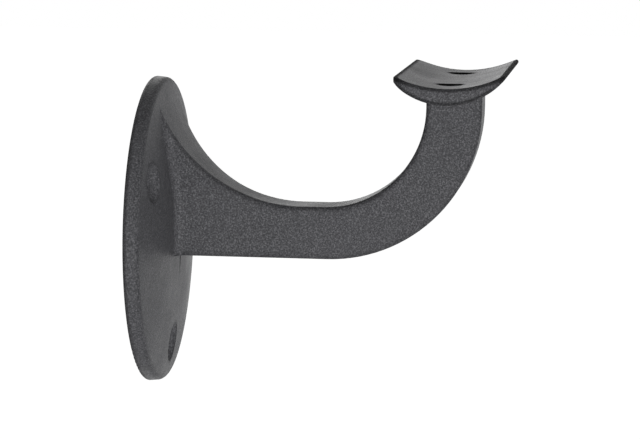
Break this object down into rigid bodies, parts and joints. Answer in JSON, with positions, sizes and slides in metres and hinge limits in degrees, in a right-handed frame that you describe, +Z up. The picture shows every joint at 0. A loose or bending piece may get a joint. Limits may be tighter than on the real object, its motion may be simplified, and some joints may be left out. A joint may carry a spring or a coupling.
{
  "type": "handrail bracket",
  "caption": "Wall bracket for a handrail: a round crowned wall plate, a curved arm with a flared gusset, and a dished saddle that carries the rail.",
  "frame": {"origin": "centre of the round wall plate's back face, on the wall", "axes": "+X straight out from the wall along the arm, +Y along the rail, +Z up"},
  "size_m": [0.089, 0.076, 0.0797],
  "materials": {
    "powder_coat": "fine-textured anthracite powder coat"
  },
  "bodies": {
    "root": {"bracket_casting": "powder_coat"}
  },
  "joints": []
}
